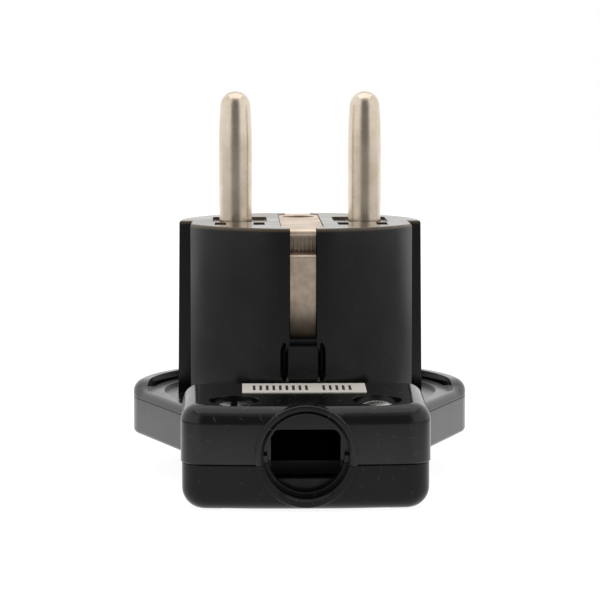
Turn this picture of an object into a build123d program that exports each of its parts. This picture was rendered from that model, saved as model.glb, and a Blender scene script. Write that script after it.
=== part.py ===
from build123d import *
import os
from math import cos, radians, sin, sqrt, tan

os.makedirs("parts", exist_ok=True)

# Flat rewireable earthed plug, lying on its flat back. Millimetres.
# Origin on the flat back, on the drum's axis. +Z along the pins, -Y towards the cable entry.

# Clearances
fit_gap = 0.1
close_gap = 0.05

# Pins
pin_spacing = 19.0
pin_radius = 2.4
pin_tip_radius = 2.17
pin_reach = 19.0
pin_taper_length = 8.0
pin_crown = 1.95
pin_tip_rounding = 0.5
pin_neck_radius = 2.75
pin_collar_radius = 4.3
pin_collar_height = 2.9
pin_terminal_radius = 3.6
pin_terminal_length = 12.5

# Drum, the round part that enters the socket
face_height = 36.9
face_thickness = 2.5
face_edge_rounding = 0.35
drum_face_radius = 17.8
drum_draft = 0.6
drum_cavity_radius = 15.3
drum_cavity_half_width = 14.0
key_flat = 16.0
key_front = 9.4
key_back = 0.8

# Casing split and walls
split_height = 6.4
wall = 2.0
floor_thickness = 1.8
seam_chamfer = 0.14

# Cable housing in front of the drum
block_reach = 35.7
block_half_width = 16.95
block_front_bulge = 0.9
block_corner = 3.4
ridge_reach = 18.6
ridge_height = 15.2
ridge_step = 1.0
ridge_rounding = 0.25
web_inset = 2.45
top_slope = 3.4
top_rounding = 2.5
cavity_ceiling = 12.2
passage_wall = 1.5
passage_back = 10.0

# Grip flange round the drum
flange_radius = 24.85
flange_tip_y = 0.2
flange_tip_rounding = 8.0
flange_bottom = 5.3
flange_deck = 11.8
flange_rim_height = 12.9
flange_rim_width = 2.2
flange_shoulder = 1.2
flange_foot_rounding = 0.6
flange_wall = 2.2
flange_roof = 3.0
rim_run_out = 7.0
rim_start = 4.0
groove_width = 0.8
groove_depth = 1.0
groove_start_angle = 8.0
gutter_width = 2.0
gutter_depth = 0.5
mould_line_height = 10.6
mould_line_size = 0.15
flange_rib_thickness = 1.2
flange_rib_count = 7
flange_rib_start_angle = -6.0

# Flat back
cover_inset = 0.15
back_rounding = 2.9

# Cable entry
collar_radius = 6.95
collar_height = 7.6
collar_proud = 0.4
collar_edge = 0.25
collar_length = 2.3
mouth_radius = 5.8
mouth_chamfer = 0.45
mouth_depth = 2.6
throat_radius = 5.25
throat_depth = 1.7
gland_thickness = 1.3
gland_wall = 1.1
aperture_width = 9.45
aperture_height = 6.7
aperture_middle = 7.3
aperture_corner = 1.2
throat_notch = 1.0
throat_notch_height = 7.9

# Earth clip, and the slots in the drum that hold it
strip_thickness = 0.6
strip_width = 3.7
strip_sink = 0.1
strip_bend = 0.35
bridge_width = 6.0
bridge_straight = 13.2
bridge_reach = 14.9
clip_lip_y = 17.45
clip_waist_y = 15.9
clip_waist_drop = 3.5
clip_elbow_y = 17.15
clip_elbow_drop = 4.0
clip_belly_drop = 8.4
clip_end_y = 15.6
clip_end_drop = 15.7
clip_tooth_width = 0.3
clip_tooth_pitch = 0.6
clip_tooth_depth = 0.15
clip_tooth_count = 6
clip_tooth_share = 0.7
slot_depth = 3.1
slot_wall = 1.4
slot_length = 16.7
slot_panel_lift = 0.8
slot_panel_sink = 0.7
slot_flank_width = 1.45
slot_flank_rise = 0.9
slot_flank_depth = 1.5
slot_flank_slant = 24.0
slot_flank_corner = 1.1

# Sleeve for the socket's earth pin
sleeve_y = 10.0
sleeve_bore_radius = 2.45
sleeve_neck_radius = 2.9
sleeve_collar_radius = 3.2
sleeve_barrel_radius = 3.0
sleeve_bore_depth = 15.0
sleeve_terminal_length = 6.9

# Terminals
wire_hole_radius = 1.5
wire_hole_offset = 4.5
terminal_thread_radius = 1.5
terminal_shank_radius = 1.4
terminal_head_radius = 2.7
terminal_head_height = 2.1
guard_thickness = 0.3
guard_width = 1.3
guard_lift = 0.2
guard_overhang = 0.7
guard_back_overhang = 0.2
guard_tab = 2.0
drive_slot_width = 0.8
drive_slot_depth = 0.9

# Contact retainer
retainer_thickness = 3.0
retainer_margin = 0.15
retainer_screw_y = -3.0
retainer_boss_radius = 2.8
retainer_shank_radius = 1.2
retainer_head_radius = 2.4
retainer_head_height = 1.6
retainer_screw_bite = 3.6

# Housing screws and nuts
screw_inset = 7.25
screw_y = -30.4
screw_recess_radius = 3.4
screw_boss_radius = 4.4
screw_head_radius = 2.9
screw_head_height = 2.0
screw_dome = 0.8
screw_sink = 0.2
screw_shank_radius = 1.5
screw_end = 0.8
head_slot_width = 1.0
head_slot_depth = 1.1
left_slot_angle = 90.0
right_slot_angle = 20.0
nut_across_flats = 5.5
nut_height = 2.4
nut_sink = 0.6

# Cord clamp
clamp_inset = 1.1
clamp_y = -23.0
clamp_post_radius = 2.6
clamp_post_end = 5.4
clamp_bar_end = 2.9
clamp_bar_width = 5.6
clamp_bar_thickness = 1.9
clamp_bar_rounding = 0.5
clamp_screw_reach = 7.5
clamp_shank_radius = 1.3
clamp_head_radius = 2.4
clamp_head_height = 1.4
clamp_rib_height = 0.9
clamp_rib_width = 0.9
clamp_rib_length = 9.0
clamp_rib_spacing = 2.8

# Hook at the cover's rear
hook_width = 8.0
hook_thickness = 1.6
hook_clear = 0.8
hook_height = 3.4
hook_nose = 1.3
hook_nose_height = 1.2
hook_foot = 0.9

# Sticker on top of the cable housing
label_width = 17.2
label_depth = 6.4
label_thickness = 0.1
label_setback = 0.7

# Shallow pockets in the face round the pins, with a slit at each corner
pocket_inset = 0.6
pocket_width = 8.0
pocket_front = 3.4
pocket_back = 7.7
pocket_depth = 0.35
pocket_corner = 0.5
slit_width = 1.6
slit_front = 9.6
slit_front_length = 5.2
slit_back_length = 2.2
slit_depth = 1.2
slit_edge = 0.4

# Long enough to cut right across the plug
across = 120.0

pin_x = pin_spacing / 2
face_underside = face_height - face_thickness
pin_top = face_height + pin_reach
drum_height = face_height - split_height
drum_base_radius = drum_face_radius + drum_height * tan(radians(drum_draft))
retainer_top = face_underside - pin_collar_height
retainer_bottom = retainer_top - retainer_thickness
retainer_screw_top = retainer_top + retainer_screw_bite
pin_terminal_end = retainer_top - pin_terminal_length
bridge_top = face_height - strip_sink
bridge_floor = bridge_top - strip_thickness
bridge_drop = strip_sink + strip_thickness / 2
sleeve_end = face_height - sleeve_bore_depth - sleeve_terminal_length
slot_floor_y = drum_face_radius - slot_depth
slot_back_y = slot_floor_y - slot_wall
slot_width = strip_width + 2 * fit_gap
slot_panel_top = face_height - slot_length
web_height = ridge_height - ridge_step
web_half_width = block_half_width - web_inset
passage_half_width = web_half_width - passage_wall
slot_panel_bottom = web_height + slot_panel_lift
flange_tip_x = sqrt(flange_radius**2 - flange_tip_y**2)
rim_inner_radius = flange_radius - flange_rim_width
rim_rise = flange_rim_height - flange_deck
cover_half_width = block_half_width - cover_inset
cover_reach = block_reach - cover_inset
collar_front = block_reach + collar_proud
throat_front = collar_front - mouth_depth
aperture_front = throat_front - throat_depth
gland_back = aperture_front - gland_thickness
screw_x = block_half_width - screw_inset
clamp_x = screw_x - clamp_inset
clamp_bar_length = 2 * (clamp_x + clamp_bar_end)
screw_top = ridge_height + (screw_y + ridge_reach) * tan(radians(top_slope)) - screw_sink
screw_seat = screw_top - screw_head_height
clamp_bar_bottom = clamp_post_end - clamp_bar_thickness
clamp_screw_top = clamp_bar_bottom + clamp_screw_reach
hook_back_y = drum_cavity_radius - hook_clear
hook_top = split_height + hook_height
hook_nose_bottom = hook_top - hook_nose_height
pocket_x = pin_x - pocket_inset
pocket_middle = (pocket_back - pocket_front) / 2
slit_x = (pocket_width - slit_width) / 2 - slit_edge

top_plane = Plane(
    origin=(0, -ridge_reach, ridge_height),
    x_dir=(1, 0, 0),
    z_dir=(0, -sin(radians(top_slope)), cos(radians(top_slope))),
)


def turning_plane(x, y):
    """Upright plane through (x, y), drawn in +X and +Z, for turned pieces."""
    return Plane(origin=(x, y, 0), x_dir=(1, 0, 0), z_dir=(0, -1, 0))


def across_cable(reach):
    """Plane across the cable's path, at a distance in front of the drum's axis."""
    return Plane.XZ.offset(reach)


def housing_outline(half_width, reach, back):
    """Straight sides and a slightly bowed front, open at the back."""
    side_y = block_front_bulge - reach
    Line((-half_width, back), (-half_width, side_y))
    ThreePointArc((-half_width, side_y), (0, -reach), (half_width, side_y))
    Line((half_width, side_y), (half_width, back))


def cover_outline(half_width, reach):
    """Plan of the flat back: the housing's front and a round rear end."""
    housing_outline(half_width, reach, 0)
    ThreePointArc((half_width, 0), (0, half_width), (-half_width, 0))


def bridge_outline(margin):
    """Plan of the clip's bridge over the face, narrowed to the strip at both ends."""
    half_bridge = bridge_width / 2 + margin
    half_strip = strip_width / 2 + margin
    Polyline(
        (-half_strip, bridge_reach),
        (half_strip, bridge_reach),
        (half_bridge, bridge_straight),
        (half_bridge, -bridge_straight),
        (half_strip, -bridge_reach),
        (-half_strip, -bridge_reach),
        (-half_bridge, -bridge_straight),
        (-half_bridge, bridge_straight),
        close=True,
    )


def cut_cable_entry():
    """Mouth with a chamfer, a notched throat, and an aperture that holds a flat cable."""
    with BuildSketch(across_cable(collar_front)) as mouth:
        with Locations((0, collar_height)):
            Circle(mouth_radius)
    extrude(mouth.sketch, amount=-mouth_depth, mode=Mode.SUBTRACT)
    with BuildSketch(across_cable(collar_front)) as flare:
        with Locations((0, collar_height)):
            Circle(mouth_radius + mouth_chamfer)
    extrude(flare.sketch, amount=-mouth_chamfer, taper=45, mode=Mode.SUBTRACT)
    with BuildSketch(across_cable(throat_front)) as throat:
        with Locations((0, collar_height)):
            Circle(throat_radius)
        with Locations((0, throat_notch_height)):
            Rectangle(2 * mouth_radius - fit_gap, throat_notch)
    extrude(throat.sketch, amount=-throat_depth, mode=Mode.SUBTRACT)
    with BuildSketch(across_cable(aperture_front)) as aperture:
        with Locations((0, aperture_middle)):
            RectangleRounded(aperture_width, aperture_height, aperture_corner)
    extrude(aperture.sketch, amount=-gland_thickness, mode=Mode.SUBTRACT)


def turn_domed_screw(x, y, bottom, seat, shank_radius, head_radius, head_height, dome):
    """Screw with its domed head up."""
    top = seat + head_height
    with BuildSketch(turning_plane(x, y)) as profile:
        with BuildLine():
            Polyline(
                (0, top),
                (0, bottom),
                (shank_radius, bottom),
                (shank_radius, seat),
                (head_radius, seat),
                (head_radius, top - dome),
            )
            TangentArc((0, top), (head_radius, top - dome), tangent=(1, 0))
        make_face()
    revolve(profile.sketch, axis=Axis((x, y, 0), (0, 0, 1)))


def turn_hanging_screw(x, y, tip, seat, shank_radius, head_radius, head_height):
    """Cheese-head screw driven from below, with a straight slot in its head."""
    bottom = seat - head_height
    with BuildSketch(turning_plane(x, y)) as profile:
        with BuildLine():
            Polyline(
                (0, tip),
                (0, bottom),
                (head_radius, bottom),
                (head_radius, seat),
                (shank_radius, seat),
                (shank_radius, tip),
                close=True,
            )
        make_face()
    revolve(profile.sketch, axis=Axis((x, y, 0), (0, 0, 1)))
    with BuildSketch(Plane.XY.offset(bottom)) as drive:
        with Locations((x, y)):
            Rectangle(2 * head_radius + fit_gap, drive_slot_width)
    extrude(drive.sketch, amount=drive_slot_depth, mode=Mode.SUBTRACT)


# Collar and gland of the cable entry, shared by the two halves of the casing
with BuildPart() as entry_form:
    with BuildSketch(across_cable(gland_back)):
        with Locations((0, collar_height)):
            Circle(throat_radius + gland_wall)
    extrude(amount=collar_front - gland_back)
    with BuildSketch(across_cable(collar_front - collar_length)):
        with Locations((0, collar_height)):
            Circle(collar_radius)
    extrude(amount=collar_length)
    fillet(entry_form.edges().group_by(Axis.Y)[0], collar_edge)

# Upper half of the cable housing, its sloping top ending in a ridge just before the drum
with BuildPart() as housing_form:
    with BuildSketch(Plane.XY.offset(split_height)):
        with BuildLine():
            housing_outline(block_half_width, block_reach, -ridge_reach)
            Line((block_half_width, -ridge_reach), (-block_half_width, -ridge_reach))
        make_face()
    extrude(amount=ridge_height - split_height + ridge_step)
    fillet(housing_form.edges().filter_by(Axis.Z).group_by(Axis.Y)[0], block_corner)
    split(bisect_by=top_plane, keep=Keep.BOTTOM)
    fillet(housing_form.faces().sort_by(Axis.Z)[-1].edges().sort_by(Axis.Y)[:-1], top_rounding)
    fillet(housing_form.faces().sort_by(Axis.Z)[-1].edges().sort_by(Axis.Y)[-1], ridge_rounding)
    chamfer(housing_form.faces().sort_by(Axis.Z)[0].edges().sort_by(Axis.Y)[:-1], seam_chamfer)

# Grip flange: a round plate with straight slanted front sides and a raised rear rim
with BuildPart() as flange_form:
    with BuildSketch(Plane.XY.offset(flange_bottom)) as flange_plan:
        with BuildLine():
            ThreePointArc(
                (flange_tip_x, flange_tip_y),
                (0, flange_radius),
                (-flange_tip_x, flange_tip_y),
            )
            Line((-flange_tip_x, flange_tip_y), (-block_half_width, -ridge_reach))
            Line((-block_half_width, -ridge_reach), (block_half_width, -ridge_reach))
            Line((block_half_width, -ridge_reach), (flange_tip_x, flange_tip_y))
        make_face()
        fillet(flange_plan.vertices().sort_by(Axis.X)[-1], flange_tip_rounding)
        fillet(flange_plan.vertices().sort_by(Axis.X)[0], flange_tip_rounding)
    extrude(amount=flange_rim_height - flange_bottom)
    # The rim runs out smoothly towards the front
    with BuildSketch(Plane.YZ):
        with BuildLine():
            rim_middle = (rim_start - rim_run_out / 2, flange_deck + rim_rise / 2)
            crest = TangentArc((rim_start, flange_rim_height), rim_middle, tangent=(-1, 0))
            TangentArc(rim_middle, (rim_start - rim_run_out, flange_deck), tangent=crest % 1)
            Polyline(
                (rim_start - rim_run_out, flange_deck),
                (-across, flange_deck),
                (-across, across),
                (rim_start, across),
                (rim_start, flange_rim_height),
            )
        make_face()
    extrude(amount=across, both=True, mode=Mode.SUBTRACT)
    upper_edges = flange_form.edges().filter_by(lambda e: (e @ 0.5).Z > flange_deck - close_gap)
    fillet(upper_edges.filter_by(Axis.X, reverse=True), flange_shoulder)
    foot_edges = flange_form.edges().group_by(Axis.Z)[0]
    fillet(foot_edges.filter_by(Axis.X, reverse=True), flange_foot_rounding)
    with BuildSketch(Plane.XY.offset(flange_deck)):
        Circle(rim_inner_radius)
    extrude(amount=flange_rim_height, mode=Mode.SUBTRACT)
    # Finger groove inside the rim, and a gutter round the drum's foot
    with BuildSketch(Plane.XZ.rotated((0, 0, groove_start_angle))):
        with Locations((rim_inner_radius, flange_deck)):
            Rectangle(groove_width, 2 * groove_depth, align=(Align.MAX, Align.CENTER))
    revolve(axis=Axis.Z, revolution_arc=180 - 2 * groove_start_angle, mode=Mode.SUBTRACT)
    with BuildSketch(Plane.XY.offset(flange_deck - gutter_depth)):
        Circle(drum_base_radius + gutter_width)
    extrude(amount=gutter_depth, mode=Mode.SUBTRACT)
    # Mould line round the outer wall
    with BuildSketch(Plane.XY.offset(mould_line_height)):
        add(flange_plan.sketch_local)
        offset(amount=-mould_line_size, mode=Mode.SUBTRACT)
        with Locations((0, mould_line_size - ridge_reach)):
            Rectangle(across, across, align=(Align.CENTER, Align.MAX), mode=Mode.SUBTRACT)
    extrude(amount=mould_line_size, mode=Mode.SUBTRACT)

# Drum with its two key notches
with BuildPart() as drum_form:
    with Locations((0, 0, split_height)):
        Cone(
            drum_base_radius,
            drum_face_radius,
            drum_height,
            align=(Align.CENTER, Align.CENTER, Align.MIN),
        )
    with BuildSketch(Plane.XY.offset(flange_deck - gutter_depth)):
        with Locations((key_flat, -key_back)):
            Rectangle(drum_base_radius, key_front - key_back, align=(Align.MIN, Align.MAX))
        mirror(about=Plane.YZ)
    extrude(amount=across, mode=Mode.SUBTRACT)
    fillet(drum_form.faces().sort_by(Axis.Z)[-1].edges(), face_edge_rounding)

# Upper half of the casing, with the drum, the flange and the top of the cable housing
with BuildPart() as front_shell:
    add(flange_form.part)
    add(drum_form.part)
    add(housing_form.part)
    with BuildSketch(Plane.XY.offset(split_height)):
        with Locations((0, -ridge_reach)):
            Rectangle(2 * web_half_width, ridge_reach, align=(Align.CENTER, Align.MIN))
    extrude(amount=web_height - split_height)
    with BuildSketch(Plane.XY.offset(flange_bottom)):
        with BuildLine():
            cover_outline(block_half_width, block_reach)
        make_face()
    extrude(amount=split_height - flange_bottom, mode=Mode.SUBTRACT)
    add(split(entry_form.part, bisect_by=Plane.XY.offset(split_height), mode=Mode.PRIVATE))

    # Hollow of the flange, open underneath, with radial ribs
    with BuildSketch(Plane.XY.offset(flange_bottom)):
        add(flange_plan.sketch_local)
        offset(amount=-flange_wall)
        Circle(drum_base_radius, mode=Mode.SUBTRACT)
        Rectangle(
            2 * block_half_width, across, align=(Align.CENTER, Align.MAX), mode=Mode.SUBTRACT
        )
        rib_sweep = 180 - 2 * flange_rib_start_angle
        with PolarLocations(
            0, flange_rib_count, flange_rib_start_angle, rib_sweep, endpoint=True
        ):
            Rectangle(
                flange_radius,
                flange_rib_thickness,
                align=(Align.MIN, Align.CENTER),
                mode=Mode.SUBTRACT,
            )
    extrude(amount=flange_deck - flange_roof - flange_bottom, mode=Mode.SUBTRACT)

    # Hollows of the drum and of the cable housing
    with BuildSketch(Plane.XY.offset(split_height)):
        Circle(drum_cavity_radius)
        Rectangle(2 * drum_cavity_half_width, across, mode=Mode.INTERSECT)
    extrude(amount=face_underside - split_height, mode=Mode.SUBTRACT)
    with BuildSketch(Plane.XY.offset(split_height)):
        with BuildLine():
            housing_outline(block_half_width - wall, block_reach - wall, -ridge_reach)
            Line((block_half_width - wall, -ridge_reach), (wall - block_half_width, -ridge_reach))
        make_face()
        with Locations((0, -passage_back)):
            Rectangle(
                2 * passage_half_width,
                block_reach - wall - block_front_bulge - passage_back,
                align=(Align.CENTER, Align.MAX),
            )
    extrude(amount=cavity_ceiling - split_height, mode=Mode.SUBTRACT)

    # Thicker walls behind the clip's slots
    with BuildSketch(Plane.XY.offset(slot_panel_top - slot_wall)):
        with Locations((0, slot_back_y)):
            Rectangle(
                slot_width + 2 * slot_wall,
                slot_wall + slot_depth / 2,
                align=(Align.CENTER, Align.MIN),
            )
        mirror(about=Plane.XZ)
    extrude(amount=face_underside - slot_panel_top + slot_wall)

    # Bosses, posts and ribs inside, and the block behind the cable's aperture
    with BuildSketch(Plane.XY.offset(split_height)):
        with Locations((-screw_x, screw_y), (screw_x, screw_y)):
            Circle(screw_boss_radius)
    extrude(amount=cavity_ceiling - split_height)
    with BuildSketch(Plane.XY.offset(clamp_post_end)):
        with Locations((-clamp_x, clamp_y), (clamp_x, clamp_y)):
            Circle(clamp_post_radius)
    extrude(amount=cavity_ceiling - clamp_post_end)
    with BuildSketch(Plane.XY.offset(cavity_ceiling - clamp_rib_height)):
        with Locations((0, clamp_y)):
            with GridLocations(0, clamp_rib_spacing, 1, 2):
                Rectangle(clamp_rib_length, clamp_rib_width)
    extrude(amount=clamp_rib_height)
    with BuildSketch(Plane.XY.offset(retainer_top)):
        with Locations((0, retainer_screw_y)):
            Circle(retainer_boss_radius)
    extrude(amount=face_underside - retainer_top)
    with BuildSketch(Plane.XY.offset(split_height)):
        with Locations((0, -gland_back)):
            Rectangle(
                2 * (throat_radius + gland_wall),
                collar_front - gland_back - collar_length,
                align=(Align.CENTER, Align.MAX),
            )
    extrude(amount=cavity_ceiling - split_height)

    # Slots for the earth clip, the recessed panels below them, and the channel over the face
    with BuildSketch(Plane.XY.offset(slot_panel_top)):
        with Locations((0, slot_floor_y)):
            Rectangle(slot_width, drum_face_radius, align=(Align.CENTER, Align.MIN))
        mirror(about=Plane.XZ)
    extrude(amount=across, mode=Mode.SUBTRACT)
    with BuildSketch(Plane.XY.offset(slot_panel_bottom)):
        with Locations((0, drum_base_radius - slot_panel_sink)):
            Rectangle(slot_width, slot_depth, align=(Align.CENTER, Align.MIN))
        mirror(about=Plane.XZ)
    extrude(amount=slot_panel_top - slot_panel_bottom, mode=Mode.SUBTRACT)
    # Grooves with slanted walls beside each panel, rounded at the top
    with BuildPart(mode=Mode.PRIVATE) as flank_cutter:
        with BuildSketch(Plane.XZ.offset(drum_base_radius)) as flanks:
            with Locations((0, slot_panel_bottom)):
                Rectangle(
                    slot_width + 2 * slot_flank_width,
                    slot_panel_top + slot_flank_rise - slot_panel_bottom,
                    align=(Align.CENTER, Align.MIN),
                )
            fillet(flanks.vertices().group_by(Axis.Y)[-1], slot_flank_corner)
            Rectangle(slot_width, across, mode=Mode.SUBTRACT)
        extrude(flanks.sketch, amount=-slot_flank_depth, taper=slot_flank_slant)
        mirror(about=Plane.XZ)
    add(flank_cutter.part, mode=Mode.SUBTRACT)
    with BuildSketch(Plane.XY.offset(bridge_floor)):
        with BuildLine():
            bridge_outline(fit_gap)
        make_face()
    extrude(amount=across, mode=Mode.SUBTRACT)

    # Holes in the face, and the shallow pockets round the pins
    with BuildSketch(Plane.XY.offset(face_underside)):
        with Locations((-pin_x, 0), (pin_x, 0)):
            Circle(pin_neck_radius + close_gap)
        with Locations((0, sleeve_y)):
            Circle(sleeve_neck_radius + close_gap)
    extrude(amount=face_thickness, mode=Mode.SUBTRACT)
    with BuildSketch(Plane.XY.offset(face_height - pocket_depth)):
        with Locations((-pocket_x, pocket_middle), (pocket_x, pocket_middle)):
            RectangleRounded(pocket_width, pocket_front + pocket_back, pocket_corner)
    extrude(amount=pocket_depth, mode=Mode.SUBTRACT)
    with BuildSketch(Plane.XY.offset(face_height - slit_depth)):
        for x in (-pocket_x - slit_x, slit_x - pocket_x, pocket_x - slit_x, pocket_x + slit_x):
            with Locations((x, -slit_front)):
                Rectangle(slit_width, slit_front_length, align=(Align.CENTER, Align.MIN))
            with Locations((x, pocket_back - slit_edge)):
                Rectangle(slit_width, slit_back_length, align=(Align.CENTER, Align.MAX))
    extrude(amount=slit_depth, mode=Mode.SUBTRACT)

    # Screw recesses, screw holes and the pocket for the cover's hook
    with BuildSketch(Plane.XY.offset(screw_seat)):
        with Locations((-screw_x, screw_y), (screw_x, screw_y)):
            Circle(screw_recess_radius)
    extrude(amount=across, mode=Mode.SUBTRACT)
    with BuildSketch(Plane.XY.offset(split_height)):
        with Locations((-screw_x, screw_y), (screw_x, screw_y)):
            Circle(screw_shank_radius + fit_gap)
    extrude(amount=screw_seat - split_height, mode=Mode.SUBTRACT)
    with BuildSketch(Plane.XY.offset(clamp_post_end)):
        with Locations((-clamp_x, clamp_y), (clamp_x, clamp_y)):
            Circle(clamp_shank_radius + close_gap)
    extrude(amount=clamp_screw_top + fit_gap - clamp_post_end, mode=Mode.SUBTRACT)
    with BuildSketch(Plane.XY.offset(retainer_top)):
        with Locations((0, retainer_screw_y)):
            Circle(retainer_shank_radius + close_gap)
    extrude(amount=retainer_screw_bite + fit_gap, mode=Mode.SUBTRACT)
    with BuildSketch(Plane.XY.offset(hook_nose_bottom - 2 * fit_gap)):
        with Locations((0, hook_back_y)):
            Rectangle(
                hook_width + 4 * fit_gap,
                hook_nose + 3 * fit_gap,
                align=(Align.CENTER, Align.MIN),
            )
    extrude(amount=hook_nose_height + 5 * fit_gap, mode=Mode.SUBTRACT)
    cut_cable_entry()

front_shell.part.label = "front_shell"
export_step(front_shell.part, "parts/front_shell.step")

# Lower half of the casing, with the flat back
with BuildPart() as back_cover:
    with BuildSketch():
        with BuildLine():
            cover_outline(cover_half_width, cover_reach)
        make_face()
    extrude(amount=split_height)
    fillet(back_cover.edges().filter_by(Axis.Z).group_by(Axis.Y)[0], block_corner)
    fillet(back_cover.faces().sort_by(Axis.Z)[0].edges(), back_rounding)
    chamfer(back_cover.faces().sort_by(Axis.Z)[-1].edges(), seam_chamfer)
    add(
        split(
            entry_form.part,
            bisect_by=Plane.XY.offset(split_height),
            keep=Keep.BOTTOM,
            mode=Mode.PRIVATE,
        )
    )
    with BuildSketch(Plane.XY.offset(floor_thickness)):
        with BuildLine():
            cover_outline(cover_half_width - wall, cover_reach - wall)
        make_face()
        with Locations((0, -gland_back)):
            Rectangle(
                2 * (throat_radius + gland_wall),
                across,
                align=(Align.CENTER, Align.MAX),
                mode=Mode.SUBTRACT,
            )
    extrude(amount=split_height - floor_thickness, mode=Mode.SUBTRACT)

    # Screw bosses, and the hook that holds the rear end
    with BuildSketch(Plane.XY.offset(floor_thickness)):
        with Locations((-screw_x, screw_y), (screw_x, screw_y)):
            Circle(screw_boss_radius)
    extrude(amount=split_height - floor_thickness)
    with BuildSketch(Plane.YZ):
        with BuildLine():
            Polyline(
                (hook_back_y - hook_thickness, floor_thickness),
                (hook_back_y + hook_foot, floor_thickness),
                (hook_back_y + hook_foot, split_height - fit_gap),
                (hook_back_y, split_height - fit_gap),
                (hook_back_y, hook_nose_bottom),
                (hook_back_y + hook_nose, hook_nose_bottom),
                (hook_back_y, hook_top),
                (hook_back_y - hook_thickness, hook_top),
                close=True,
            )
        make_face()
    extrude(amount=hook_width / 2, both=True)

    # Screw holes and nut pockets
    with BuildSketch():
        with Locations((-screw_x, screw_y), (screw_x, screw_y)):
            Circle(screw_shank_radius + fit_gap)
    extrude(amount=split_height, mode=Mode.SUBTRACT)
    with BuildSketch():
        with Locations((-screw_x, screw_y), (screw_x, screw_y)):
            RegularPolygon(nut_across_flats / 2 + close_gap, 6, major_radius=False)
    extrude(amount=nut_sink + nut_height, mode=Mode.SUBTRACT)
    cut_cable_entry()

back_cover.part.label = "back_cover"
export_step(back_cover.part, "parts/back_cover.step")

# Pins: domed ends, a collar under the face, and a terminal with a cross hole
for side, name in ((-1, "live_pin"), (1, "neutral_pin")):
    with BuildPart() as pin:
        with BuildSketch(turning_plane(side * pin_x, 0)) as pin_profile:
            with BuildLine():
                Polyline(
                    (0, pin_top),
                    (0, pin_terminal_end),
                    (pin_terminal_radius, pin_terminal_end),
                    (pin_terminal_radius, retainer_top),
                    (pin_collar_radius, retainer_top),
                    (pin_collar_radius, face_underside),
                    (pin_neck_radius, face_underside),
                    (pin_neck_radius, face_height - pocket_depth),
                    (pin_radius, face_height - pocket_depth),
                    (pin_radius, pin_top - pin_taper_length),
                )
                TangentArc(
                    (pin_radius, pin_top - pin_taper_length),
                    (pin_tip_radius, pin_top - pin_crown),
                    tangent=(0, 1),
                )
                TangentArc((0, pin_top), (pin_tip_radius, pin_top - pin_crown), tangent=(1, 0))
            make_face()
            fillet(pin_profile.vertices().sort_by(Axis.Y)[-2], pin_tip_rounding)
        revolve(axis=Axis((side * pin_x, 0, 0), (0, 0, 1)))
        with BuildSketch(Plane.XZ):
            with Locations((side * pin_x, pin_terminal_end + wire_hole_offset)):
                Circle(wire_hole_radius)
        extrude(amount=2 * pin_terminal_radius, both=True, mode=Mode.SUBTRACT)
        with BuildSketch(Plane.XY.offset(pin_terminal_end)):
            with Locations((side * pin_x, 0)):
                Circle(terminal_thread_radius)
        extrude(amount=wire_hole_offset, mode=Mode.SUBTRACT)
    pin.part.label = name
    export_step(pin.part, f"parts/{name}.step")

# Earth clip: one strip over the face, bent down into the front and rear slots
with BuildPart() as earth_clip:
    with BuildSketch(Plane.YZ):
        with BuildLine():
            leg = FilletPolyline(
                (bridge_straight, bridge_top - strip_thickness / 2),
                (clip_lip_y, bridge_top - strip_thickness / 2),
                (clip_waist_y, face_height - clip_waist_drop),
                (clip_elbow_y, face_height - clip_elbow_drop),
                (clip_elbow_y, face_height - clip_belly_drop),
                radius=strip_bend,
            )
            curl = TangentArc(
                leg @ 1,
                (clip_end_y, face_height - clip_end_drop),
                tangent=leg % 1,
            )
        trace([*leg.edges(), curl], line_width=strip_thickness)
        mirror(about=Plane.YZ)
    extrude(amount=strip_width / 2, both=True)
    with BuildSketch(Plane.XY.offset(bridge_floor)):
        with BuildLine():
            bridge_outline(0)
        make_face()
    extrude(amount=strip_thickness)
    with BuildSketch(Plane.XY.offset(bridge_floor)):
        with Locations((0, sleeve_y)):
            Circle(sleeve_bore_radius)
    extrude(amount=strip_thickness, mode=Mode.SUBTRACT)
    # Teeth stamped in the slope of each leg, under its lip
    slope = Vector(0, clip_waist_y - clip_lip_y, clip_waist_drop - bridge_drop)
    with BuildPart(mode=Mode.PRIVATE) as teeth:
        with BuildSketch(Plane.XY.offset(face_height - clip_waist_drop)) as tooth_row:
            with Locations((0, -clip_waist_y - strip_thickness / 2)):
                with GridLocations(clip_tooth_pitch, 0, clip_tooth_count, 1):
                    Rectangle(clip_tooth_width, 2 * clip_tooth_depth)
        extrude(tooth_row.sketch, amount=clip_tooth_share * slope.length, dir=slope)
        mirror(about=Plane.XZ)
    add(teeth.part, mode=Mode.SUBTRACT)

earth_clip.part.label = "earth_clip"
export_step(earth_clip.part, "parts/earth_clip.step")

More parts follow.
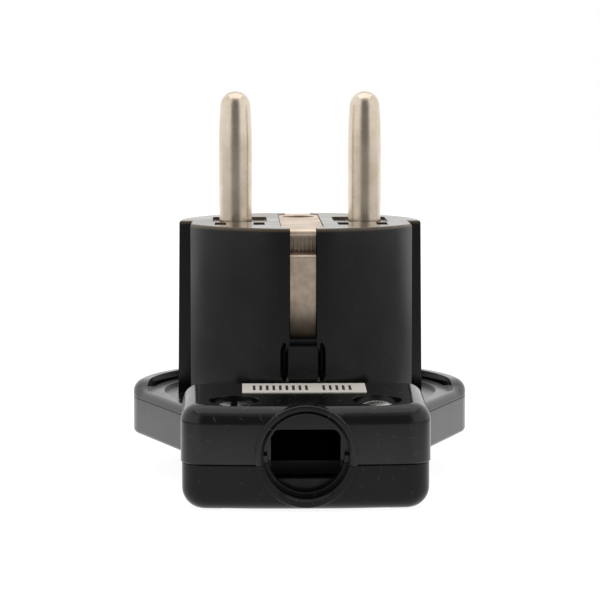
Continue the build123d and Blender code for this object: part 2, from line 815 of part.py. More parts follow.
# Sleeve for the socket's earth pin, trapped by its collar, with the earth terminal below
with BuildPart() as earth_socket:
    with BuildSketch(turning_plane(0, sleeve_y)):
        with BuildLine():
            Polyline(
                (0, sleeve_end),
                (sleeve_barrel_radius, sleeve_end),
                (sleeve_barrel_radius, retainer_top),
                (sleeve_collar_radius, retainer_top),
                (sleeve_collar_radius, face_underside),
                (sleeve_neck_radius, face_underside),
                (sleeve_neck_radius, bridge_floor),
                (sleeve_bore_radius, bridge_floor),
                (sleeve_bore_radius, face_height - sleeve_bore_depth),
                (0, face_height - sleeve_bore_depth),
                close=True,
            )
        make_face()
    revolve(axis=Axis((0, sleeve_y, 0), (0, 0, 1)))
    with BuildSketch(Plane.XZ.offset(-sleeve_y)):
        with Locations((0, sleeve_end + wire_hole_offset)):
            Circle(wire_hole_radius)
    extrude(amount=2 * sleeve_barrel_radius, both=True, mode=Mode.SUBTRACT)
    with BuildSketch(Plane.XY.offset(sleeve_end)):
        with Locations((0, sleeve_y)):
            Circle(terminal_thread_radius)
    extrude(amount=wire_hole_offset, mode=Mode.SUBTRACT)

earth_socket.part.label = "earth_socket"
export_step(earth_socket.part, "parts/earth_socket.step")

# Plate that holds the pins and the sleeve up against the face
with BuildPart() as contact_retainer:
    with BuildSketch(Plane.XY.offset(retainer_bottom)):
        Circle(drum_cavity_radius - retainer_margin)
        Rectangle(2 * (drum_cavity_half_width - retainer_margin), across, mode=Mode.INTERSECT)
        with Locations((0, slot_back_y - retainer_margin)):
            Rectangle(
                slot_width + 2 * (slot_wall + retainer_margin),
                drum_cavity_radius,
                align=(Align.CENTER, Align.MIN),
                mode=Mode.SUBTRACT,
            )
        with Locations((0, retainer_margin - slot_back_y)):
            Rectangle(
                slot_width + 2 * (slot_wall + retainer_margin),
                drum_cavity_radius,
                align=(Align.CENTER, Align.MAX),
                mode=Mode.SUBTRACT,
            )
        with Locations((-pin_x, 0), (pin_x, 0)):
            Circle(pin_terminal_radius + fit_gap, mode=Mode.SUBTRACT)
        with Locations((0, sleeve_y)):
            Circle(sleeve_barrel_radius + close_gap, mode=Mode.SUBTRACT)
        with Locations((0, retainer_screw_y)):
            Circle(retainer_shank_radius + close_gap, mode=Mode.SUBTRACT)
    extrude(amount=retainer_thickness)

contact_retainer.part.label = "contact_retainer"
export_step(contact_retainer.part, "parts/contact_retainer.step")

with BuildPart() as retainer_screw:
    turn_hanging_screw(
        0,
        retainer_screw_y,
        retainer_screw_top,
        retainer_bottom,
        retainer_shank_radius,
        retainer_head_radius,
        retainer_head_height,
    )

retainer_screw.part.label = "retainer_screw"
export_step(retainer_screw.part, "parts/retainer_screw.step")

# Terminal screws, and the leaf between each screw's tip and the wire
terminals = (
    ("live", -pin_x, 0, pin_terminal_end, pin_terminal_radius),
    ("neutral", pin_x, 0, pin_terminal_end, pin_terminal_radius),
    ("earth", 0, sleeve_y, sleeve_end, sleeve_barrel_radius),
)
for name, x, y, seat, body_radius in terminals:
    leaf_bottom = seat + wire_hole_offset - wire_hole_radius + guard_lift
    with BuildPart() as terminal_screw:
        turn_hanging_screw(
            x,
            y,
            leaf_bottom - close_gap,
            seat,
            terminal_shank_radius,
            terminal_head_radius,
            terminal_head_height,
        )
    terminal_screw.part.label = f"{name}_terminal_screw"
    export_step(terminal_screw.part, f"parts/{name}_terminal_screw.step")

    leaf_front = y - body_radius - guard_overhang
    leaf_back = y + body_radius + guard_back_overhang
    with BuildPart() as wire_guard:
        with BuildSketch(Plane.YZ.offset(x)):
            with BuildLine():
                Polyline(
                    (leaf_back, leaf_bottom),
                    (leaf_back, leaf_bottom + guard_thickness),
                    (leaf_front, leaf_bottom + guard_thickness),
                    (leaf_front, leaf_bottom - guard_tab),
                    (leaf_front + guard_thickness, leaf_bottom - guard_tab),
                    (leaf_front + guard_thickness, leaf_bottom),
                    close=True,
                )
            make_face()
        extrude(amount=guard_width / 2, both=True)
    wire_guard.part.label = f"{name}_wire_guard"
    export_step(wire_guard.part, f"parts/{name}_wire_guard.step")

# Housing screws in their recesses, their nuts in the flat back, and the cord clamp's screws
for side, slot_angle, name in ((-1, left_slot_angle, "left"), (1, right_slot_angle, "right")):
    with BuildPart() as housing_screw:
        turn_domed_screw(
            side * screw_x,
            screw_y,
            screw_end,
            screw_seat,
            screw_shank_radius,
            screw_head_radius,
            screw_head_height,
            screw_dome,
        )
        with BuildSketch(Plane.XY.offset(screw_top - head_slot_depth)):
            with Locations(Location((side * screw_x, screw_y), slot_angle)):
                Rectangle(2 * screw_head_radius + fit_gap, head_slot_width)
        extrude(amount=head_slot_depth, mode=Mode.SUBTRACT)
    housing_screw.part.label = f"{name}_housing_screw"
    export_step(housing_screw.part, f"parts/{name}_housing_screw.step")

    with BuildPart() as housing_nut:
        with BuildSketch(Plane.XY.offset(nut_sink)):
            with Locations((side * screw_x, screw_y)):
                RegularPolygon(nut_across_flats / 2, 6, major_radius=False)
                Circle(screw_shank_radius + close_gap, mode=Mode.SUBTRACT)
        extrude(amount=nut_height)
    housing_nut.part.label = f"{name}_housing_nut"
    export_step(housing_nut.part, f"parts/{name}_housing_nut.step")

    with BuildPart() as clamp_screw:
        turn_hanging_screw(
            side * clamp_x,
            clamp_y,
            clamp_screw_top,
            clamp_bar_bottom,
            clamp_shank_radius,
            clamp_head_radius,
            clamp_head_height,
        )
    clamp_screw.part.label = f"{name}_cord_clamp_screw"
    export_step(clamp_screw.part, f"parts/{name}_cord_clamp_screw.step")

# Bar that clamps the cable against the two ribs in the housing's ceiling
with BuildPart() as cord_clamp_bar:
    with BuildSketch(Plane.XY.offset(clamp_bar_bottom)):
        with Locations((0, clamp_y)):
            RectangleRounded(clamp_bar_length, clamp_bar_width, clamp_bar_rounding)
        with Locations((-clamp_x, clamp_y), (clamp_x, clamp_y)):
            Circle(clamp_shank_radius + fit_gap, mode=Mode.SUBTRACT)
    extrude(amount=clamp_bar_thickness)

cord_clamp_bar.part.label = "cord_clamp_bar"
export_step(cord_clamp_bar.part, "parts/cord_clamp_bar.step")

# Sticker near the ridge, on the housing's sloping top
with BuildPart() as label:
    with BuildSketch(top_plane):
        with Locations((0, -label_setback)):
            Rectangle(label_width, label_depth, align=(Align.CENTER, Align.MAX))
    extrude(amount=label_thickness)

label.part.label = "label"
export_step(label.part, "parts/label.step")
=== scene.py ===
import math

import bmesh
import bpy
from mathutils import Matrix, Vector


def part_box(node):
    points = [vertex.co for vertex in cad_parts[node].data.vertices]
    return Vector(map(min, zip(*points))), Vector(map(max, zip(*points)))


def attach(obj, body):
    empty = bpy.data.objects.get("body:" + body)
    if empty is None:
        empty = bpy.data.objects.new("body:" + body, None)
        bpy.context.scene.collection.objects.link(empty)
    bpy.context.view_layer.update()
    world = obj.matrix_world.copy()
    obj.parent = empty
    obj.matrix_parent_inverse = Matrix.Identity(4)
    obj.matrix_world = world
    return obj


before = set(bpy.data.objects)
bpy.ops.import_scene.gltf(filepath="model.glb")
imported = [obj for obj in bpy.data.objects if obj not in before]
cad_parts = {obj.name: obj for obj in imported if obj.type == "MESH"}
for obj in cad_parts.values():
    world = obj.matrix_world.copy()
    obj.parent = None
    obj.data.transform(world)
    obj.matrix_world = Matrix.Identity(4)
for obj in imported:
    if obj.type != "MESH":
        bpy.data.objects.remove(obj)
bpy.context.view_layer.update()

# Front shell and back cover: the two halves of the casing, compression-moulded in black thermoset and
# drawn together by two screws. The moulds were polished, so it shines like enamel, with a slight
# ripple, and years of use have left fine random scratches and specks of dust on it.

# The lengths of the plug's own pieces are in millimetres. Those of the table, the studio and the
# camera are in metres.
MM = 0.001
RUBBED_PATCH = 9
MOULD_RIPPLE = 2.6
MOULDED_EDGE = 0.14
DRUM_END, HOUSING_START = -17.5, -20  # along the plug, from the axis of the drum
FILM_START, FILM_WHOLE = 0.6, 0.3  # below the face

face_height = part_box("front_shell")[1].z


def linear(hex_colour):
    """An sRGB hex colour as linear red, green, blue and alpha."""
    parts = [int(hex_colour[i : i + 2], 16) / 255 for i in (1, 3, 5)]
    flat = [c / 12.92 if c <= 0.04045 else ((c + 0.055) / 1.055) ** 2.4 for c in parts]
    return (*flat, 1.0)


def shade(tree, kind, settings=None, links=None):
    """Adds a node. Its settings are lower-case properties or inputs. A link comes from a socket, or
    from another node's first output."""
    node = tree.nodes.new(kind)
    for name, value in (settings or {}).items():
        if isinstance(name, str) and name.islower():
            setattr(node, name, value)
        else:
            node.inputs[name].default_value = value
    for name, source in (links or {}).items():
        socket = source if isinstance(source, bpy.types.NodeSocket) else source.outputs[0]
        tree.links.new(socket, node.inputs[name])
    return node


def new_surface(name):
    """An empty material with its node tree, and the place of each point in metres."""
    material = bpy.data.materials.new(name)
    material.use_nodes = True
    tree = material.node_tree
    tree.nodes.clear()
    place = shade(tree, "ShaderNodeTexCoord").outputs["Object"]
    return material, tree, place


def finish_surface(tree, settings, links):
    """The material's one shader, joined to its output."""
    shader = shade(tree, "ShaderNodeBsdfPrincipled", settings, links)
    shade(tree, "ShaderNodeOutputMaterial", links={"Surface": shader})


def dress(material, *nodes):
    """Gives CAD nodes their material."""
    for node in nodes:
        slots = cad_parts[node].data.materials
        slots.clear()
        slots.append(material)


def scratches(tree, place, cell, half_length, half_width, share):
    """Straight scratches that lie in the surface, each its own way, one at most in each cell. Real
    ones are a hundredth of a millimetre wide. These are several times wider, so that they show."""
    cells = shade(tree, "ShaderNodeTexVoronoi", {"Scale": 1 / (cell * MM)}, {"Vector": place})
    normal = shade(tree, "ShaderNodeNewGeometry").outputs["True Normal"]
    chance = shade(tree, "ShaderNodeSeparateColor", links={"Color": cells.outputs["Color"]})
    way = shade(
        tree,
        "ShaderNodeVectorMath",
        {"operation": "SUBTRACT", 1: (0.5, 0.5, 0.5)},
        {0: cells.outputs["Color"]},
    )
    across = shade(
        tree, "ShaderNodeVectorMath", {"operation": "CROSS_PRODUCT"}, {0: way, 1: normal}
    )
    across = shade(tree, "ShaderNodeVectorMath", {"operation": "NORMALIZE"}, {0: across})
    along = shade(
        tree, "ShaderNodeVectorMath", {"operation": "CROSS_PRODUCT"}, {0: across, 1: normal}
    )
    offset = shade(
        tree,
        "ShaderNodeVectorMath",
        {"operation": "SUBTRACT"},
        {0: place, 1: cells.outputs["Position"]},
    )
    mask = shade(
        tree,
        "ShaderNodeMath",
        {"operation": "LESS_THAN", 1: share},
        {0: chance.outputs["Red"]},
    )
    for axis, reach in ((across, half_width), (along, half_length)):
        away = shade(
            tree,
            "ShaderNodeVectorMath",
            {"operation": "DOT_PRODUCT"},
            {0: offset, 1: axis},
        )
        away = shade(
            tree, "ShaderNodeMath", {"operation": "ABSOLUTE"}, {0: away.outputs["Value"]}
        )
        near = shade(
            tree,
            "ShaderNodeMapRange",
            {
                "interpolation_type": "SMOOTHSTEP",
                "From Min": 0.4 * reach * MM,
                "From Max": reach * MM,
                "To Min": 1.0,
                "To Max": 0.0,
            },
            {"Value": away},
        )
        mask = shade(tree, "ShaderNodeMath", {"operation": "MULTIPLY"}, {0: mask, 1: near})
    return mask


def specks(tree, place, cell, radius, share):
    """Small round specks, one at most in each cell."""
    cells = shade(tree, "ShaderNodeTexVoronoi", {"Scale": 1 / (cell * MM)}, {"Vector": place})
    chance = shade(tree, "ShaderNodeSeparateColor", links={"Color": cells.outputs["Color"]})
    here = shade(
        tree,
        "ShaderNodeMath",
        {"operation": "LESS_THAN", 1: share},
        {0: chance.outputs["Green"]},
    )
    near = shade(
        tree,
        "ShaderNodeMapRange",
        {
            "interpolation_type": "SMOOTHSTEP",
            "From Min": 0.3 * radius / cell,
            "From Max": radius / cell,
            "To Min": 1.0,
            "To Max": 0.0,
        },
        {"Value": cells.outputs["Distance"]},
    )
    return shade(tree, "ShaderNodeMath", {"operation": "MULTIPLY"}, {0: here, 1: near})


def black_thermoset(name, wear, ior):
    """Polished black moulding: near-black, with sharp pale reflections. The cable housing, which hands
    and tables rub, has most of the scratches and dust, and the drum few. A brownish film lies on the
    face, where sockets have rubbed it. Clean thermoset has an IOR of about 1.6, and less is given
    here, matched to the object, which dims the reflections. The far lower IOR of the back cover is
    painted shade, which darkens its reflections below those of the front shell."""
    material, tree, place = new_surface(name)
    point = shade(tree, "ShaderNodeSeparateXYZ", links={0: place})
    rub = shade(
        tree,
        "ShaderNodeTexNoise",
        {"Scale": 1 / (RUBBED_PATCH * MM), "Detail": 5.0, "Roughness": 0.6},
        {"Vector": place},
    )
    ripple = shade(
        tree,
        "ShaderNodeTexNoise",
        {"Scale": 1 / (MOULD_RIPPLE * MM), "Detail": 2.0},
        {"Vector": place},
    )
    exposure = shade(
        tree,
        "ShaderNodeMapRange",
        {
            "interpolation_type": "SMOOTHSTEP",
            "From Min": HOUSING_START * MM,
            "From Max": DRUM_END * MM,
            "To Min": 1.0,
            "To Max": 0.3,
        },
        {"Value": point.outputs["Y"]},
    )
    fine = scratches(tree, place, cell=2.2, half_length=0.45, half_width=0.03, share=0.6 * wear)
    long = scratches(tree, place, cell=8.5, half_length=1.5, half_width=0.035, share=0.3 * wear)
    marks = shade(tree, "ShaderNodeMath", {"operation": "MAXIMUM"}, {0: fine, 1: long})
    marks = shade(tree, "ShaderNodeMath", {"operation": "MULTIPLY"}, {0: marks, 1: exposure})
    dust = specks(tree, place, cell=1.3, radius=0.055, share=0.4 * wear)
    dust = shade(tree, "ShaderNodeMath", {"operation": "MULTIPLY"}, {0: dust, 1: exposure})
    film = shade(
        tree,
        "ShaderNodeMapRange",
        {
            "interpolation_type": "SMOOTHSTEP",
            "From Min": face_height - FILM_START * MM,
            "From Max": face_height - FILM_WHOLE * MM,
        },
        {"Value": point.outputs["Z"]},
    )
    film = shade(tree, "ShaderNodeMath", {"operation": "MULTIPLY"}, {0: film, 1: rub})
    colour = shade(
        tree,
        "ShaderNodeMix",
        {"data_type": "RGBA", 6: linear("#0b0b0c"), 7: linear("#121213")},
        {0: rub},
    )
    # The film is brown, the scratches are grey, and the dust lies pale over both.
    for layer, share in (("#7d6b52", film), ("#5c5a56", marks), ("#8f8b84", dust)):
        colour = shade(
            tree,
            "ShaderNodeMix",
            {"data_type": "RGBA", 7: linear(layer)},
            {0: share, 6: colour.outputs[2]},
        )
    shine = shade(
        tree,
        "ShaderNodeMapRange",
        {"From Min": 0.35, "From Max": 0.7, "To Min": 0.14, "To Max": 0.14 + 0.14 * wear},
        {"Value": rub},
    )
    dull = shade(
        tree, "ShaderNodeMath", {"operation": "MULTIPLY_ADD", 1: 0.18}, {0: marks, 2: shine}
    )
    edge = shade(tree, "ShaderNodeBevel", {"samples": 6, "Radius": MOULDED_EDGE * MM})
    waves = shade(
        tree,
        "ShaderNodeBump",
        {"Strength": 0.12, "Distance": 0.01 * MM},
        {"Height": ripple, "Normal": edge},
    )
    cuts = shade(
        tree,
        "ShaderNodeBump",
        {"Strength": 0.3, "Distance": 0.006 * MM, "invert": True},
        {"Height": marks, "Normal": waves},
    )
    finish_surface(
        tree,
        {"IOR": ior},
        {"Base Color": colour.outputs[2], "Roughness": dull, "Normal": cuts},
    )
    return material


dress(black_thermoset("polished_black_thermoset", wear=0.75, ior=1.44), "front_shell")
# The back cover's far lower IOR is painted shade, which darkens its reflections. Its greater wear is
# real.
dress(black_thermoset("rubbed_and_shaded_black_thermoset", wear=1.0, ior=1.29), "back_cover")

# Pins: turned brass rods with domed ends and a satin nickel plating, held in the face by their wider
# necks. The plating is faintly yellow, and the contacts of sockets have drawn fine lengthwise marks
# along it.

TARNISH_CLOUD = 3.2
TURNED_EDGE = 0.1
TUCK_SHADE_FADE = 0.3
TUCK_SHADE_SHARE = 0.6


def plated_metal(name, colour, worn_colour, roughness, grain, marks_share, foot=None, tuck=None):
    """Plating or bare metal: a tinted mirror, blurred by a fine grain and clouded by tarnish. The
    grain is longest along the axis whose size is largest, and coarser than the real one, so that it
    shows. Painted shade blackens the metal from the top to the bottom of its foot, and a lighter
    painted shade lies between the two heights of its tuck."""
    material, tree, place = new_surface(name)
    stretched = shade(
        tree,
        "ShaderNodeMapping",
        {"Scale": tuple(1 / (size * MM) for size in grain)},
        {"Vector": place},
    )
    lines = shade(
        tree,
        "ShaderNodeTexNoise",
        {"Scale": 1.0, "Detail": 3.0, "Roughness": 0.55},
        {"Vector": stretched},
    )
    clouds = shade(
        tree,
        "ShaderNodeTexNoise",
        {"Scale": 1 / (TARNISH_CLOUD * MM), "Detail": 4.0, "Roughness": 0.6},
        {"Vector": place},
    )
    tarnish = shade(
        tree, "ShaderNodeMapRange", {"From Min": 0.4, "From Max": 0.68}, {"Value": clouds}
    )
    tint = shade(
        tree,
        "ShaderNodeMix",
        {"data_type": "RGBA", 6: linear(colour), 7: linear(worn_colour)},
        {0: tarnish},
    )
    # Painted shade: black from the top to the bottom of the foot, and darker between the heights of the
    # tuck.
    if foot:
        height = shade(tree, "ShaderNodeSeparateXYZ", links={0: place}).outputs["Z"]
        layers = []
        for low, high, below, above in (
            (foot[1], foot[0], 1.0, 0.0),
            (tuck[0] - TUCK_SHADE_FADE, tuck[0], 0.0, 1.0),
            (tuck[1], tuck[1] + TUCK_SHADE_FADE, 1.0, 0.0),
        ):
            layer = shade(
                tree,
                "ShaderNodeMapRange",
                {
                    "interpolation_type": "SMOOTHSTEP",
                    "From Min": low * MM,
                    "From Max": high * MM,
                    "To Min": below,
                    "To Max": above,
                },
                {"Value": height},
            )
            layers.append(layer)
        black, above_tuck, below_tuck = layers
        tuck_shade = shade(
            tree, "ShaderNodeMath", {"operation": "MULTIPLY"}, {0: above_tuck, 1: below_tuck}
        )
        tuck_shade = shade(
            tree, "ShaderNodeMath", {"operation": "MULTIPLY", 1: TUCK_SHADE_SHARE}, {0: tuck_shade}
        )
        dark = shade(tree, "ShaderNodeMath", {"operation": "MAXIMUM"}, {0: black, 1: tuck_shade})
        tint = shade(
            tree,
            "ShaderNodeMix",
            {"data_type": "RGBA", 7: linear("#2b2620")},
            {0: dark, 6: tint.outputs[2]},
        )
    rubs = scratches(
        tree, place, cell=1.6, half_length=0.7, half_width=0.03, share=marks_share
    )
    rough = shade(
        tree,
        "ShaderNodeMapRange",
        {"From Min": 0.3, "From Max": 0.7, "To Min": roughness - 0.05, "To Max": roughness + 0.07},
        {"Value": lines},
    )
    rough = shade(
        tree, "ShaderNodeMath", {"operation": "MULTIPLY_ADD", 1: 0.2}, {0: rubs, 2: rough}
    )
    edge = shade(tree, "ShaderNodeBevel", {"samples": 6, "Radius": TURNED_EDGE * MM})
    grain_bump = shade(
        tree,
        "ShaderNodeBump",
        {"Strength": 0.25, "Distance": 0.0025 * MM},
        {"Height": lines, "Normal": edge},
    )
    finish_surface(
        tree,
        {"Metallic": 1.0},
        {"Base Color": tint.outputs[2], "Roughness": rough, "Normal": grain_bump},
    )
    return material


pin_metal = plated_metal(
    "satin_nickel_plating",
    colour="#e4d6c4",
    worn_colour="#d6c6b2",
    roughness=0.24,
    grain=(0.12, 0.12, 9),
    marks_share=0.15,
)
dress(pin_metal, "live_pin", "neutral_pin")

# Earth clip: one strip of nickel-plated spring bronze, stamped with small teeth, bent over the face and
# sprung into the slots. The plating has gone brownish and mottled. Painted shade makes it black at the
# foot of the slots and darker where the strip tucks under its lip.

CLIP_FOOT = (30.5, 20)  # heights at which its painted shade starts and is black
CLIP_TUCK = (33.6, 35.9)  # heights between which shade is painted under the lip

clip_metal = plated_metal(
    "tarnished_nickel_strip_with_painted_shade",
    colour="#e8d6c2",
    worn_colour="#c2ad97",
    roughness=0.42,
    grain=(0.15, 0.15, 2.5),
    marks_share=0.5,
    foot=CLIP_FOOT,
    tuck=CLIP_TUCK,
)
dress(clip_metal, "earth_clip")

# Earth sleeve: a socket for the earth pin, turned from brass rod and pressed up against the face from
# inside. It is bare brass, with the fine rings that the turning tool left.

sleeve_metal = plated_metal(
    "turned_brass",
    colour="#c8a86a",
    worn_colour="#a8874e",
    roughness=0.28,
    grain=(3, 3, 0.1),
    marks_share=0.4,
)
dress(sleeve_metal, "earth_socket")

# Wire guards: thin leaves of nickel-plated bronze, one in each terminal, cut from rolled strip. Each
# lies between the screw and the wire, and has the straight grain of the rolls.

leaf_metal = plated_metal(
    "nickel_plated_leaf",
    colour="#c4b8a0",
    worn_colour="#a3967e",
    roughness=0.3,
    grain=(0.1, 2, 0.1),
    marks_share=0.3,
)
dress(leaf_metal, "live_wire_guard", "neutral_wire_guard", "earth_wire_guard")

# Contact retainer and cord clamp bar: dull dark phenolic mouldings inside the casing, screwed down
# over the contacts and the cable. The wood flour that fills them shows as fine brown specks.

MOULD_GRIT = 0.3


def filled_phenolic(name):
    """Matt dark brown moulding with fine lighter specks, coarser than real flour so that they show."""
    material, tree, place = new_surface(name)
    flour = specks(tree, place, cell=0.5, radius=0.12, share=0.4)
    tint = shade(
        tree,
        "ShaderNodeMix",
        {"data_type": "RGBA", 6: linear("#1e1a17"), 7: linear("#3a322a")},
        {0: flour},
    )
    grit = shade(
        tree,
        "ShaderNodeTexNoise",
        {"Scale": 1 / (MOULD_GRIT * MM), "Detail": 3.0},
        {"Vector": place},
    )
    bump = shade(
        tree, "ShaderNodeBump", {"Strength": 0.3, "Distance": 0.02 * MM}, {"Height": grit}
    )
    finish_surface(
        tree,
        {"Roughness": 0.55},
        {"Base Color": tint.outputs[2], "Normal": bump},
    )
    return material


dress(filled_phenolic("wood_flour_phenolic"), "contact_retainer", "cord_clamp_bar")

# Screws and nuts: steel, cold-headed and thread-rolled, with a bright zinc plating. They were plated
# and tumbled in a barrel, so they are finely scuffed all over, with no direction.

screw_metal = plated_metal(
    "tumbled_zinc_plating",
    colour="#dfdfdb",
    worn_colour="#b4b4ae",
    roughness=0.26,
    grain=(0.3, 0.3, 0.3),
    marks_share=0.9,
)
dress(
    screw_metal,
    "left_housing_screw",
    "right_housing_screw",
    "left_housing_nut",
    "right_housing_nut",
    "left_cord_clamp_screw",
    "right_cord_clamp_screw",
    "retainer_screw",
    "live_terminal_screw",
    "neutral_terminal_screw",
    "earth_terminal_screw",
)

# Sticker: white coated paper, stuck on the cable housing behind the screws, yellowed and a little
# grubby. One row is printed on it in black ink, as plain bars in two groups.

LABEL_THICKNESS = 0.1
BAR_GROUPS = (9, 5)
BAR_PITCH = 0.91
BAR_WIDTH = 0.36
BAR_DEPTH = 3.3
GROUP_GAP = 1.5
PRINT_THICKNESS = 0.01
PAPER_FIBRE = 0.4
GRUBBY_PATCH = 4


def sticker_paper(name, colour, grubby_colour):
    """Coated paper, or the ink on it: a soft sheen over faint fibres, in a slightly uneven tone. The
    fibres are coarser than real ones, so that they show."""
    material, tree, place = new_surface(name)
    fibres = shade(
        tree,
        "ShaderNodeTexNoise",
        {"Scale": 1 / (PAPER_FIBRE * MM), "Detail": 6.0, "Roughness": 0.7},
        {"Vector": place},
    )
    tone = shade(
        tree,
        "ShaderNodeTexNoise",
        {"Scale": 1 / (GRUBBY_PATCH * MM), "Detail": 2.0},
        {"Vector": place},
    )
    tint = shade(
        tree,
        "ShaderNodeMix",
        {"data_type": "RGBA", 6: linear(colour), 7: linear(grubby_colour)},
        {0: tone},
    )
    bump = shade(
        tree, "ShaderNodeBump", {"Strength": 0.2, "Distance": 0.01 * MM}, {"Height": fibres}
    )
    finish_surface(
        tree,
        {"Roughness": 0.5},
        {"Base Color": tint.outputs[2], "Normal": bump},
    )
    return material


dress(sticker_paper("coated_white_paper", "#ebe7df", "#dbd5c9"), "label")

low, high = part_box("label")
label_slope = (high.z - low.z - LABEL_THICKNESS * MM) / (high.y - low.y)
label_top = (low + high) / 2
label_top.z += LABEL_THICKNESS / 2 * MM

bars = bmesh.new()
group_start = -(sum(BAR_GROUPS) * BAR_PITCH + GROUP_GAP) / 2
front, back = -BAR_DEPTH / 2, BAR_DEPTH / 2
for group in BAR_GROUPS:
    for bar in range(group):
        left = group_start + bar * BAR_PITCH
        right = left + BAR_WIDTH
        corners = []
        for x, y in ((left, front), (right, front), (right, back), (left, back)):
            rise = y * label_slope + PRINT_THICKNESS
            corners.append(bars.verts.new(label_top + Vector((x, y, rise)) * MM))
        bars.faces.new(corners)
    group_start += group * BAR_PITCH + GROUP_GAP
print_mesh = bpy.data.meshes.new("sticker_print")
bars.to_mesh(print_mesh)
bars.free()
print_mesh.materials.append(sticker_paper("printing_ink", "#2b2a29", "#3a3836"))
sticker_print = bpy.data.objects.new("sticker_print", print_mesh)
bpy.context.collection.objects.link(sticker_print)
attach(sticker_print, "root")

# Table: a white sheet laid on a pale grey table top, from just in front of the plug to a white sweep
# behind it, fading softly into the grey at its edges. Its white is a tone of its own, which only the
# camera and reflections see, so the plug's lighting stays plain. Its matt grey keeps the shadow.

TABLE_SIZE = 1.3
SHEET_SIDE_FADE = (0.058, 0.125)  # from the middle outwards
SHEET_FRONT_FADE = (-0.112, -0.089)
SWEEP_FADE = (0.07, 0.22)

half = TABLE_SIZE / 2
floor_mesh = bpy.data.meshes.new("table")
floor_mesh.from_pydata(
    [(-half, -half, 0), (half, -half, 0), (half, half, 0), (-half, half, 0)], [], [(0, 1, 2, 3)]
)
floor = bpy.data.objects.new("table", floor_mesh)
bpy.context.collection.objects.link(floor)

sheet, tree, place = new_surface("white_sheet_on_grey_table")
point = shade(tree, "ShaderNodeSeparateXYZ", links={0: place})
aside = shade(tree, "ShaderNodeMath", {"operation": "ABSOLUTE"}, {0: point.outputs["X"]})
fades = []
for value, (near, far), before, after in (
    (aside, SHEET_SIDE_FADE, 1.0, 0.0),
    (point.outputs["Y"], SHEET_FRONT_FADE, 0.0, 1.0),
    (point.outputs["Y"], SWEEP_FADE, 0.0, 1.0),
):
    fade = shade(
        tree,
        "ShaderNodeMapRange",
        {
            "interpolation_type": "SMOOTHSTEP",
            "From Min": near,
            "From Max": far,
            "To Min": before,
            "To Max": after,
        },
        {"Value": value},
    )
    fades.append(fade)
within_sides, past_front, on_sweep = fades
white = shade(
    tree, "ShaderNodeMath", {"operation": "MULTIPLY"}, {0: within_sides, 1: past_front}
)
white = shade(tree, "ShaderNodeMath", {"operation": "MAXIMUM"}, {0: white, 1: on_sweep})
own_tone = shade(
    tree,
    "ShaderNodeMix",
    {"data_type": "RGBA", 6: linear("#7a7a7a"), 7: linear("#f6f6f6")},
    {0: white},
)
rays = shade(tree, "ShaderNodeLightPath")
seen = rays.outputs["Is Camera Ray"]
for kind in ("Is Glossy Ray", "Is Transmission Ray"):
    seen = shade(
        tree, "ShaderNodeMath", {"operation": "MAXIMUM"}, {0: seen, 1: rays.outputs[kind]}
    )
own = shade(
    tree, "ShaderNodeEmission", links={"Color": own_tone.outputs[2], "Strength": seen}
)
matt = shade(tree, "ShaderNodeBsdfDiffuse", {"Color": linear("#868686")})
both = shade(tree, "ShaderNodeAddShader", links={0: own, 1: matt})
shade(tree, "ShaderNodeOutputMaterial", links={"Surface": both})
floor_mesh.materials.append(sheet)

# Studio: white walls behind and at the sides of the table, a ceiling half as bright, the dark end of
# the room in front, behind the camera, and a wide soft lamp overhead.

WALLS, DARK_END, CEILING = 1.0, 0.18, 0.5
DARK_END_FADE = (-0.97, -0.74)  # of a level unit direction's part along the plug
CEILING_FADE = (0.66, 0.8)  # of a unit direction's upward part
LAMP_SIZE = (1.1, 0.9)
LAMP_PLACE = (0.0, 0.1, 0.8)
LAMP_POWER = 2.8

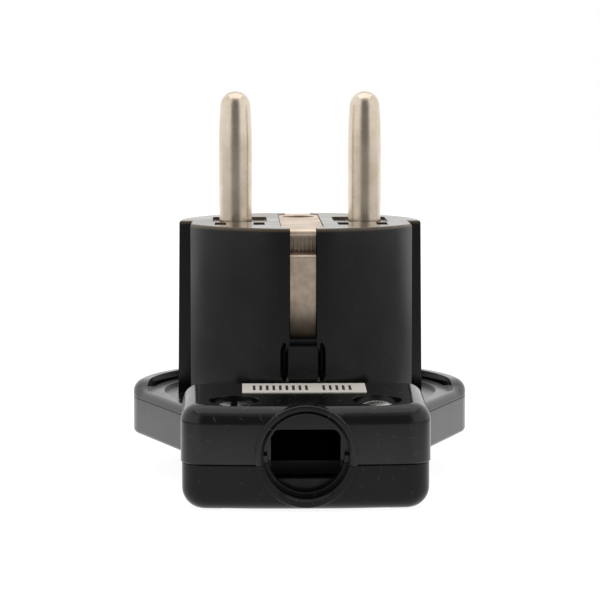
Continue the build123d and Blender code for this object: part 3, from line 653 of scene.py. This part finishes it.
world = bpy.data.worlds.new("studio")
bpy.context.scene.world = world
world.use_nodes = True
tree = world.node_tree
tree.nodes.clear()
outward = shade(tree, "ShaderNodeTexCoord").outputs["Generated"]
level = shade(
    tree, "ShaderNodeVectorMath", {"operation": "MULTIPLY", 1: (1, 1, 0)}, {0: outward}
)
level = shade(tree, "ShaderNodeVectorMath", {"operation": "NORMALIZE"}, {0: level})
facing = shade(tree, "ShaderNodeSeparateXYZ", links={0: level})
around = shade(
    tree,
    "ShaderNodeMapRange",
    {
        "interpolation_type": "SMOOTHSTEP",
        "From Min": DARK_END_FADE[0],
        "From Max": DARK_END_FADE[1],
        "To Min": DARK_END,
        "To Max": WALLS,
    },
    {"Value": facing.outputs["Y"]},
)
upward = shade(tree, "ShaderNodeSeparateXYZ", links={0: outward})
overhead = shade(
    tree,
    "ShaderNodeMapRange",
    {
        "interpolation_type": "SMOOTHSTEP",
        "From Min": CEILING_FADE[0],
        "From Max": CEILING_FADE[1],
    },
    {"Value": upward.outputs["Z"]},
)
glow = shade(
    tree, "ShaderNodeMix", {"data_type": "FLOAT", 3: CEILING}, {0: overhead, 2: around}
)
lighting = shade(tree, "ShaderNodeBackground", {"Color": (1, 1, 1, 1)}, {"Strength": glow})
shade(tree, "ShaderNodeOutputWorld", links={"Surface": lighting})

lamp_data = bpy.data.lights.new("overhead_softbox", "AREA")
lamp_data.shape = "RECTANGLE"
lamp_data.size, lamp_data.size_y = LAMP_SIZE
lamp_data.energy = LAMP_POWER
lamp = bpy.data.objects.new("overhead_softbox", lamp_data)
lamp.location = LAMP_PLACE
bpy.context.collection.objects.link(lamp)

# Camera: a long lens about 0.35 m in front of the drum's axis and 0.06 m above the table, which is a
# little above the pins' tips. It looks slightly down, towards the cable entry.

CAMERA_DISTANCE = 0.3483
CAMERA_HEIGHT = 0.0605
CAMERA_TURN = math.radians(-1.42)
CAMERA_PITCH = math.radians(5.81)
LENS = 141.7
SENSOR_WIDTH = 36.0

camera_data = bpy.data.cameras.new("camera")
camera_data.lens = LENS
camera_data.sensor_width = SENSOR_WIDTH
camera = bpy.data.objects.new("camera", camera_data)
camera.location = (
    CAMERA_DISTANCE * math.sin(CAMERA_TURN),
    -CAMERA_DISTANCE * math.cos(CAMERA_TURN),
    CAMERA_HEIGHT,
)
camera.rotation_euler = (math.pi / 2 - CAMERA_PITCH, 0.0, CAMERA_TURN)
bpy.context.collection.objects.link(camera)
bpy.context.scene.camera = camera
bpy.context.scene.view_settings.view_transform = "Standard"
